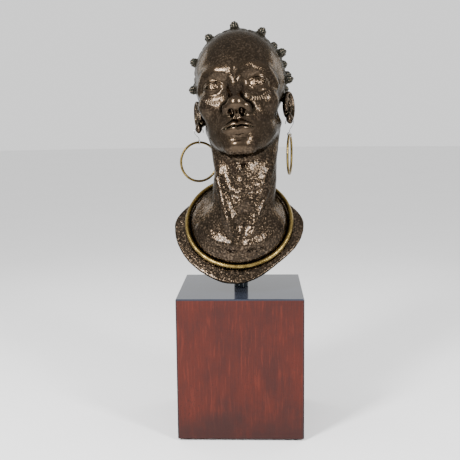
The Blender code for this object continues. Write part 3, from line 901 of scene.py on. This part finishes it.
PIT_SIZE = 2.7 * MM
HAMMER_SIZE = 4.2 * MM
CLOUD_SIZE = 30 * MM
SHADED_BROWN = (0.020, 0.0135, 0.008)
WARM_BROWN = (0.042, 0.0285, 0.0175)
PIT_BROWN = (0.012, 0.0085, 0.0055)
CREST_AND_GLINT_SPECK = (0.100, 0.072, 0.049)
RUBBED_BROWN = (0.090, 0.060, 0.036)
PATINA_AND_SHADE_BROWN = (0.013, 0.012, 0.008)
HAIR_GROOVE = (0.010, 0.011, 0.008)
HAIR_CREST = (0.060, 0.048, 0.034)

bronze = Finish("bronze", Metallic=1.0, Coat_Roughness=0.16, Coat_IOR=1.4,
                Specular_Tint=(0.50, 0.49, 0.47, 1))
spot = bronze.place()
hair_share = bronze.attribute("hair")
rubbed_share = bronze.attribute("rubbed")
# the hollow attribute carries dark patina and painted shade together
patina_and_shade_share = bronze.attribute("hollow")
strand = bronze.node("ShaderNodeSeparateXYZ", {},
                     {"Vector": bronze.attribute("strands", "Vector")})
strand_b = Value(bronze, strand.socket.node.outputs["Y"])
fan = strand.math("ARCTAN2", strand_b, strand)
comb = (fan * 46 + 5 * bronze.noise(spot, 0.006)).wave()
pits = bronze.noise(spot, PIT_SIZE, 0.5, 0.6)
hammer = bronze.node("ShaderNodeTexVoronoi", {"feature": "SMOOTH_F1"},
                     {"Vector": spot, "Scale": 1 / HAMMER_SIZE, "Smoothness": 0.5})
clouds = bronze.noise(spot, CLOUD_SIZE, 4.0, 0.6)
height_up = bronze.node("ShaderNodeSeparateXYZ", {}, {"Vector": spot}, "Z")
coarse = height_up.between(0.46, 0.40)
on_face = height_up.between(0.425, 0.455)
tooth = (0.85 - 0.35 * on_face) * (1 - 0.85 * rubbed_share)
# light specks at the peaks of the pit noise: partly worn crests, partly painted glints
crest_and_glint_specks = (pits + 0.25 * (clouds - 0.5)).between(0.54, 0.68)
brown = bronze.mix(clouds, SHADED_BROWN, WARM_BROWN)
brown = bronze.mix(tooth * (pits + 0.15 * clouds).between(0.52, 0.40), brown, PIT_BROWN)
brown = bronze.mix(tooth * crest_and_glint_specks, brown, CREST_AND_GLINT_SPECK)
brown = bronze.mix(0.5 * rubbed_share, brown, RUBBED_BROWN)
# darker in hollows, creases and under the rim: partly patina, partly painted shade
in_patina_and_shade = (patina_and_shade_share * (1.3 - clouds)).between(0.30, 0.95)
brown = bronze.mix(in_patina_and_shade, brown, PATINA_AND_SHADE_BROWN)
dark_hair = bronze.mix(comb.between(0.1, 1.0), HAIR_GROOVE, HAIR_CREST)
relief = tooth * pits - 0.20 * coarse * hammer
bronze.feed(Base_Color=bronze.mix(hair_share, brown, dark_hair),
            Roughness=0.20 + 0.08 * clouds - 0.04 * rubbed_share + 0.25 * hair_share,
            Coat_Weight=0.2 * (1 - patina_and_shade_share),
            Normal=bronze.bump(relief * (1 - hair_share) + 0.5 * comb * hair_share, 0.0008))
settle(casting, "bust_casting", bronze)
bpy.ops.object.shade_smooth_by_angle(angle=SHARP_EDGE)
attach(casting, "root")
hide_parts("bust")


# Knots of hair: each section of hair is wound on itself into a small coil that sits
# on its foot. They are cast with the head, and darker, because no hand rubs them.

COIL_TURNS = 3.0
COIL_RADIUS = 4.2
COIL_FOOT = 2.4
COIL_HEIGHT = 8.4
COIL_TIP = 0.7
LOCK_RADII = (3.1, 2.4)
STEPS = 66
SIDES = 12


def coil(handed):
    """Rings of points of one lock wound up around the z axis, in millimetres."""
    rings = []
    for k in range(STEPS + 1):
        t = k / STEPS
        turn = handed * 2 * pi * COIL_TURNS * t
        reach = COIL_TIP + (COIL_RADIUS - COIL_TIP) * (1 - float(step(t, 0.45, 1.0)))
        thick = LOCK_RADII[0] + (LOCK_RADII[1] - LOCK_RADII[0]) * t
        thick *= min(1.0, 0.35 + 6 * t, 0.30 + 7 * (1 - t))
        middle = np.array((reach * cos(turn), reach * sin(turn), COIL_FOOT + COIL_HEIGHT * t))
        outward = np.array((cos(turn), sin(turn), 0))
        ring = []
        for i in range(SIDES):
            a = 2 * pi * i / SIDES
            r = thick * (1 + 0.13 * cos(2 * a - 3.2 * turn * handed))
            ring.append(middle + r * (cos(a) * outward + sin(a) * np.array((0, 0, 1))))
        rings.append(ring)
    return np.array(rings)


points, faces, lengths = [], [], []
for k, (foot, n) in enumerate(KNOTS):
    handed = 1 if foot[0] > 0 or k % 3 == 0 else -1
    rings = coil(handed)
    side = unit(np.cross(n, (cos(2.4 * k), sin(2.4 * k), 0.1)))
    axes = np.stack([side, np.cross(n, side), n], 1)
    placed = np.array(HEAD_AT) + (foot + rings.reshape(-1, 3) @ axes.T) @ HEAD.T
    start = len(points)
    points.extend(placed)
    lengths.extend(np.repeat(np.arange(STEPS + 1) / STEPS, SIDES))
    for r in range(STEPS):
        for i in range(SIDES):
            j = (i + 1) % SIDES
            quad = [start + r * SIDES + i, start + r * SIDES + j,
                    start + (r + 1) * SIDES + j, start + (r + 1) * SIDES + i]
            faces.append(quad if handed > 0 else quad[::-1])
    for r, turned in ((0, handed < 0), (STEPS, handed > 0)):
        cap = [start + r * SIDES + i for i in range(SIDES)]
        faces.append(cap if turned else cap[::-1])
mesh = bpy.data.meshes.new("hair_knots")
mesh.from_pydata([tuple(q) for q in np.array(points) * MM], [], faces)
hair_knots = bpy.data.objects.new("hair_knots", mesh)
bpy.context.scene.collection.objects.link(hair_knots)
alone(hair_knots)
bpy.ops.object.mode_set(mode="EDIT")
bpy.ops.mesh.select_all(action="SELECT")
bpy.ops.mesh.normals_make_consistent(inside=False)
bpy.ops.object.mode_set(mode="OBJECT")
p = np.zeros(len(mesh.vertices) * 3, np.float32)
mesh.vertices.foreach_get("co", p)
p = np.clip(p.reshape(-1, 3), np.array(low_corner), np.array(high_corner)).astype(np.float32)
mesh.vertices.foreach_set("co", p.ravel())
layer = mesh.attributes.new("along", "FLOAT", "POINT")
layer.data.foreach_set("value", np.array(lengths, np.float32))

knot_bronze = Finish("knot_bronze", Metallic=1.0)
spot = knot_bronze.place()
fibres = knot_bronze.noise(spot, 0.0011, 4.0, 0.7)
bands = (knot_bronze.attribute("along") * 190 + 4 * fibres).wave()
light = (fibres + 0.14 * bands).between(0.50, 0.72)
knot_bronze.feed(Base_Color=knot_bronze.mix(light, (0.016, 0.018, 0.014), (0.13, 0.105, 0.080)),
                 Roughness=0.46 - 0.12 * light,
                 Normal=knot_bronze.bump(fibres + 0.3 * bands, 0.0005))
settle(hair_knots, "hair_knots", knot_bronze)
bpy.ops.object.shade_smooth_by_angle(angle=SHARP_EDGE)
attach(hair_knots, "root")


# Neck ring: a brass rod bent round and brazed shut, which lies loose on the shoulders.
# Its brass is rubbed bright in some patches and tarnished dark in others.

brass = Finish("rubbed_brass", Metallic=1.0)
spot = brass.place()
tarnish = brass.noise(spot, 0.011, 5.0, 0.65)
scuffs = brass.noise(spot, 0.0012, 4.0, 0.7)
rubbing = (tarnish + 0.35 * scuffs).between(0.48, 0.78)
gold = brass.mix(rubbing, (0.055, 0.039, 0.012), (0.215, 0.156, 0.054))
brass.feed(Base_Color=brass.mix(0.6 * scuffs.between(0.60, 0.40), gold, (0.12, 0.078, 0.022)),
           Roughness=0.42 - 0.16 * rubbing,
           Normal=brass.bump(scuffs + 0.6 * tarnish, 0.00022))


def hoop_at(name, centre, axes, radius, wire, around, sides):
    """A wire ring: a torus in a frame of its own, tapped a little out of true."""
    bpy.ops.mesh.primitive_torus_add(major_segments=around, minor_segments=sides,
                                     major_radius=radius * MM, minor_radius=wire * MM)
    made = bpy.context.object
    p = np.zeros(len(made.data.vertices) * 3, np.float32)
    made.data.vertices.foreach_get("co", p)
    p = p.reshape(-1, 3)
    turn = np.arctan2(p[:, 1], p[:, 0])
    middle = radius * MM * np.stack([np.cos(turn), np.sin(turn), 0 * turn], 1)
    dents = 0.988 + 0.012 * np.cos(13 * turn + 1) * np.cos(29 * turn)
    p = middle + (p - middle) * dents[:, None]
    p = p @ np.array(axes).T + np.array(centre) * MM
    made.data.vertices.foreach_set("co", p.astype(np.float32).ravel())
    made.data.update()
    made.data.shade_smooth()
    return made


ring = hoop_at("ring", MANTLE_AT, MANTLE, RING_RADIUS, RING_WIRE, 288, 28)
settle(ring, "neck_ring_brass", brass)
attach(ring, "root")
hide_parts("neck_ring")


# Earrings: a steel wire bent through the hole in each lobe, with an eye at its end,
# and a brass hoop that hangs in the eye.

EAR_WIRE = 0.65
EAR_WIRE_REACH = 6.9
EAR_WIRE_BEND = 1.8
EAR_WIRE_DROP = 4.5
EYE_RADIUS = 3.1
HOOP_RADIUS = 30.1
HOOP_WIRE = 1.9
HOOP_TOP = {"left": 457.5, "right": 446.5}
HOOP_TURN = {"left": 82.0, "right": 25.0}

steel = Finish("ear_wire_steel", Metallic=1.0)
drawn = steel.noise(steel.place((1, 1, 0.3)), 0.0009)
steel.feed(Base_Color=steel.mix(drawn, (0.16, 0.16, 0.165), (0.62, 0.62, 0.63)),
           Roughness=0.22 + 0.2 * drawn,
           Normal=steel.bump(drawn, 0.00005))

for name, side in (("left", 1), ("right", -1)):
    hole = from_ear(LOBE_HOLE_AT, side)
    out = from_ear(np.array(LOBE_HOLE_AT) + np.array((1, 0, 0)), side) - hole
    turn = radians(HOOP_TURN[name])
    along = np.array((cos(turn), sin(turn), 0))
    across = np.array((-sin(turn), cos(turn), 0))
    down = np.array((0, 0, -1))
    outer = hole + EAR_WIRE_REACH * out
    inner = hole - EAR_WIRE_REACH * out
    top = np.array((hole[0], hole[1], HOOP_TOP[name]))
    bend = EAR_WIRE_BEND
    path = [inner + EAR_WIRE_DROP * down, inner + bend * down]
    path += [inner + bend * (1 - sin(t)) * down + bend * (1 - cos(t)) * out
             for t in np.linspace(pi / 12, pi / 2, 6)]
    path += [hole]
    path += [outer + bend * (1 - cos(t)) * down - bend * (1 - sin(t)) * out
             for t in np.linspace(0, pi / 2, 7)]
    eye_at = top + (HOOP_WIRE - 0.25) * down
    start, end = outer + EAR_WIRE_DROP * down, eye_at - (EYE_RADIUS + 2) * down
    path += [(1 - t) ** 3 * start + 3 * t * (1 - t) ** 2 * (start + EAR_WIRE_DROP * down)
             + 3 * t ** 2 * (1 - t) * (end - 3 * down) + t ** 3 * end
             for t in np.linspace(0, 1, 11)]
    path += [eye_at + EYE_RADIUS * (cos(t) * -down + sin(t) * across)
             for t in np.linspace(0.12, 2 * pi - 0.62, 30)]
    alone(casting)
    bpy.ops.curve.primitive_nurbs_path_add()
    wire = bpy.context.object
    wire.data.splines[0].type = "POLY"
    wire.data.splines[0].points.add(len(path) - len(wire.data.splines[0].points))
    for point, q in zip(wire.data.splines[0].points, path):
        point.co = (*(q * MM), 1)
    wire.data.bevel_depth = EAR_WIRE * MM
    wire.data.bevel_resolution = 3
    wire.data.use_fill_caps = True
    wire.location = (0, 0, 0)
    alone(wire)
    bpy.ops.object.convert(target="MESH")
    wire = bpy.context.object
    settle(wire, "earring_wire_" + name, steel)
    wire.data.shade_smooth()
    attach(wire, "root")
    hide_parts("ear_wire_" + name)

    hub = top - (HOOP_RADIUS + HOOP_WIRE) * np.array((0, 0, 1))
    hoop = hoop_at("hoop", hub, np.stack([along, -down, np.cross(along, -down)], 1),
                   HOOP_RADIUS, HOOP_WIRE, 144, 20)
    settle(hoop, "earring_hoop_" + name, brass)
    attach(hoop, "root")
    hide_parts("hoop_" + name)


# Stage: a pale floor under a white sky, two tall soft boxes in front and two weak ones
# behind, and the camera at the photograph's angle, level with the face and looking a
# little down. None of it belongs to the part.

FLOOR_RADIUS = 12
SKY = 1.2
TOWARDS_NECK = (0, 0, 0.42)
TOWARDS_HEAD = (0, 0, 0.45)

paper = Finish("paper_floor", Metallic=0.0)
shade = paper.noise(paper.place(), 0.4)
paper.feed(Base_Color=paper.mix(shade, (0.82, 0.82, 0.82), (0.86, 0.86, 0.86)),
           Roughness=0.75 + 0.1 * paper.noise(paper.place(), 0.05))
alone(casting)
bpy.ops.mesh.primitive_circle_add(vertices=96, radius=FLOOR_RADIUS, fill_type="NGON")
floor = bpy.context.object
settle(floor, "floor", paper)

world = bpy.data.worlds.new("white_tent")
bpy.context.scene.world = world
world.use_nodes = True
sky = world.node_tree.nodes["Background"].inputs
sky["Color"].default_value = (1, 1, 1, 1)
sky["Strength"].default_value = SKY


def soft_box(name, place, target, wide, tall, power):
    """A lit white panel; sizes in metres, power in watts."""
    light = bpy.data.lights.new(name, "AREA")
    light.shape = "RECTANGLE"
    light.size = wide
    light.size_y = tall
    light.energy = power
    obj = bpy.data.objects.new(name, light)
    obj.location = place
    obj.rotation_euler = (Vector(target) - Vector(place)).to_track_quat("-Z", "Y").to_euler()
    bpy.context.scene.collection.objects.link(obj)


soft_box("left_strip", (-0.72, -1.05, 1.06), TOWARDS_NECK, 0.24, 0.80, 48)
soft_box("right_strip", (0.86, -0.98, 0.98), TOWARDS_NECK, 0.20, 0.70, 26)
soft_box("left_rim", (-0.95, 0.80, 0.85), TOWARDS_HEAD, 0.40, 0.70, 4)
soft_box("right_rim", (0.95, 0.80, 0.85), TOWARDS_HEAD, 0.40, 0.70, 4)

CAMERA_AT = (0.03088, -1.24468, 0.48231)
CAMERA_YAW = -2.195
CAMERA_DOWN = 7.988
CAMERA_ROLL = -0.589
SENSOR_WIDTH = 36
LENS = 62.71
yaw, down, roll = radians(CAMERA_YAW), radians(CAMERA_DOWN), radians(CAMERA_ROLL)
forward = np.array((sin(yaw) * cos(down), cos(yaw) * cos(down), -sin(down)))
level = np.array((cos(yaw), -sin(yaw), 0))
upward = np.cross(level, forward)
right = level * cos(roll) + upward * sin(roll)
above = upward * cos(roll) - level * sin(roll)
lens = bpy.data.cameras.new("camera")
lens.sensor_width = SENSOR_WIDTH
lens.lens = LENS
camera = bpy.data.objects.new("camera", lens)
turned = np.eye(4)
turned[:3, :3] = np.stack([right, above, -forward], 1)
turned[:3, 3] = CAMERA_AT
camera.matrix_world = Matrix(turned.tolist())
bpy.context.scene.collection.objects.link(camera)
bpy.context.scene.camera = camera
